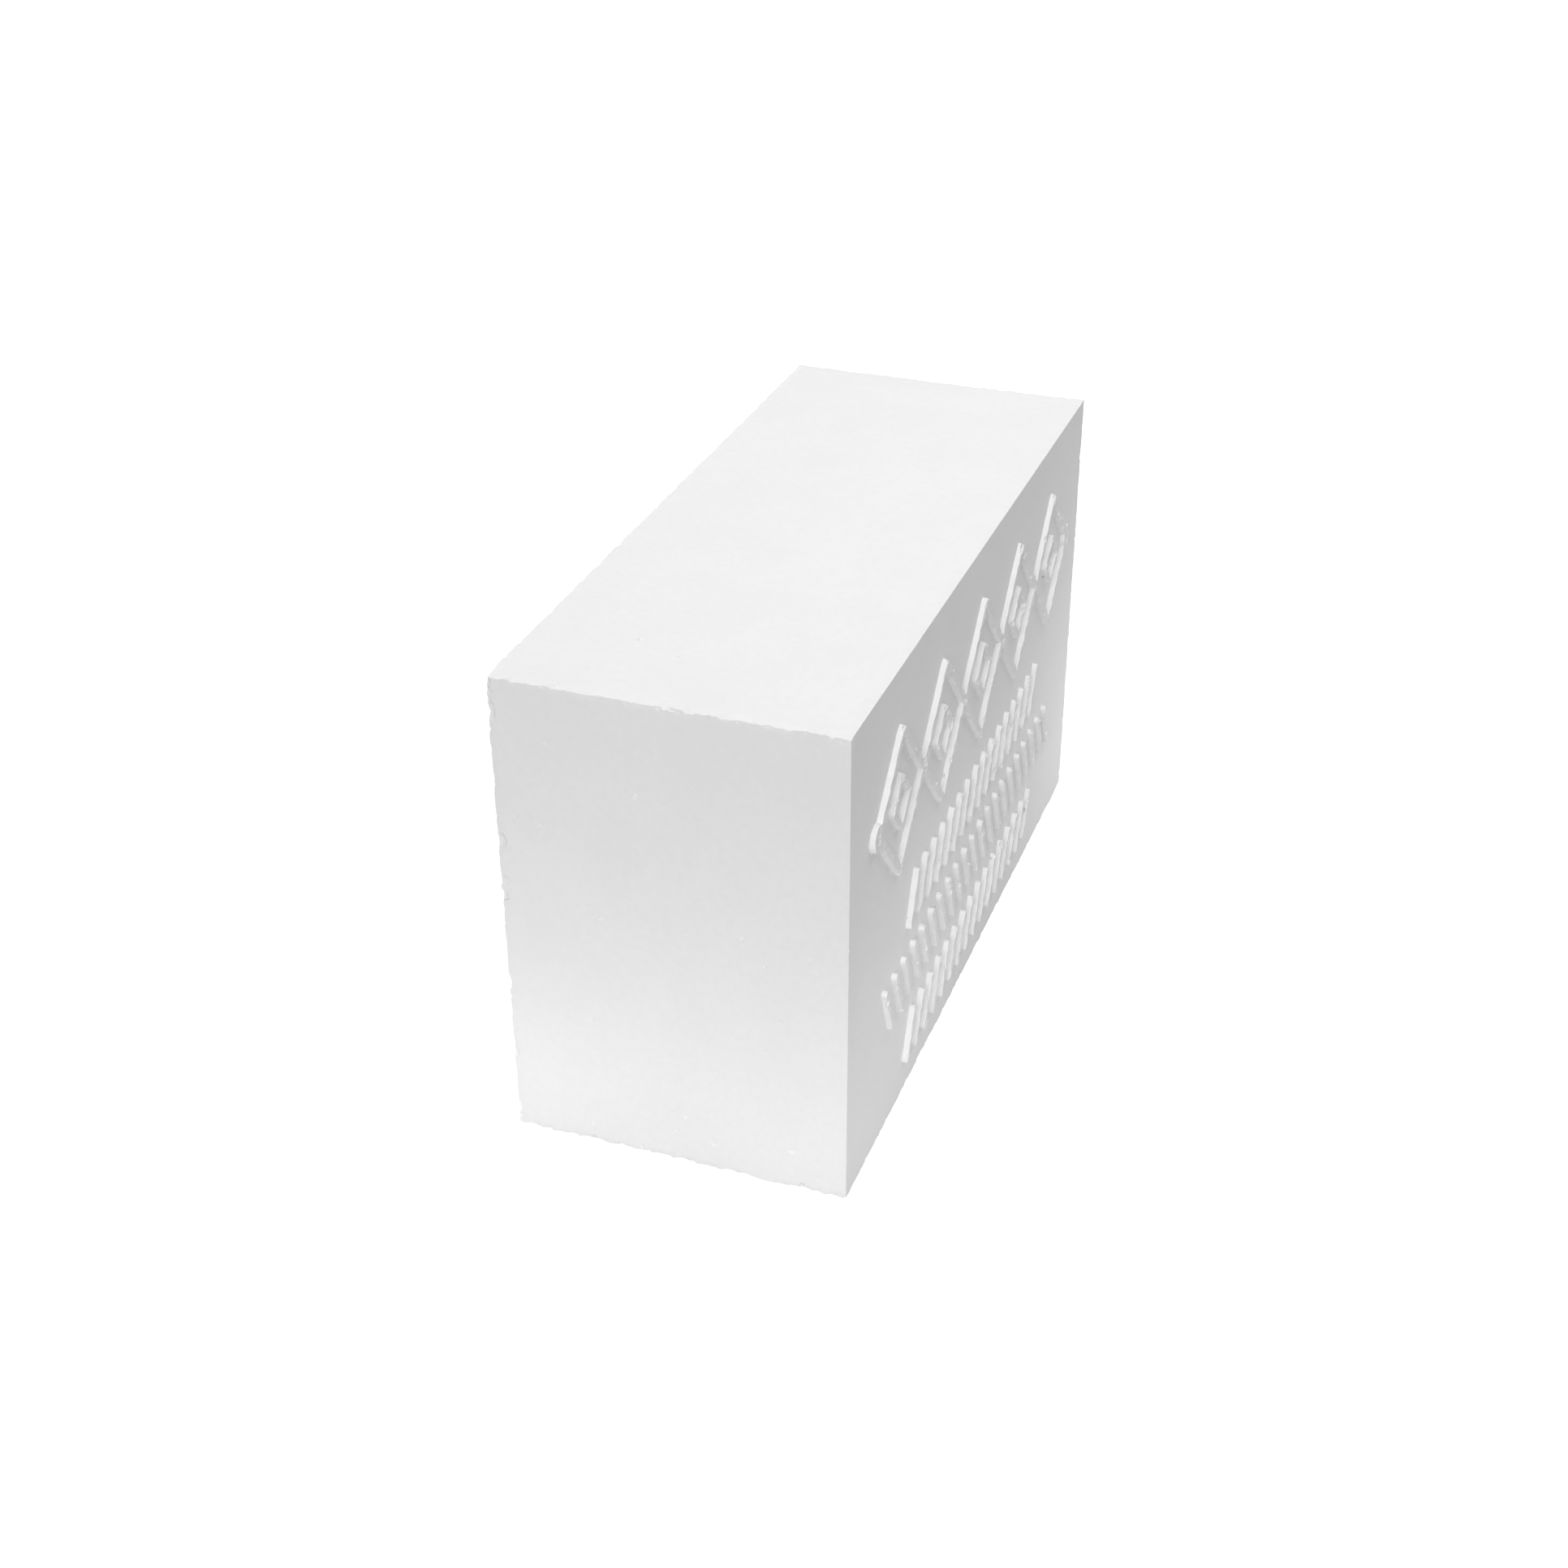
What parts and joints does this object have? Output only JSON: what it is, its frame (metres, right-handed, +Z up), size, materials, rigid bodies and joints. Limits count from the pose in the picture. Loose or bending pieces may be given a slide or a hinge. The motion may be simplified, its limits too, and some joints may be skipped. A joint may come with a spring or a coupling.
{
  "type": "gymnastics chalk block",
  "caption": "Pressed rectangular block of white magnesium carbonate hand chalk, flat on five faces, with a raised grip pattern of lozenges and bars on one long face.",
  "frame": {"origin": "centre of the plain base face that the block stands on, without the raised pattern", "axes": "+X along the length, the way the pattern runs; +Y through the thickness, from the patterned front face to the plain back face; +Z up, the height"},
  "size_m": [0.076, 0.032, 0.0462],
  "materials": {
    "pressed_chalk": "dry, matt, powdery white"
  },
  "bodies": {
    "root": {"chalk_block": "pressed_chalk"}
  },
  "joints": []
}
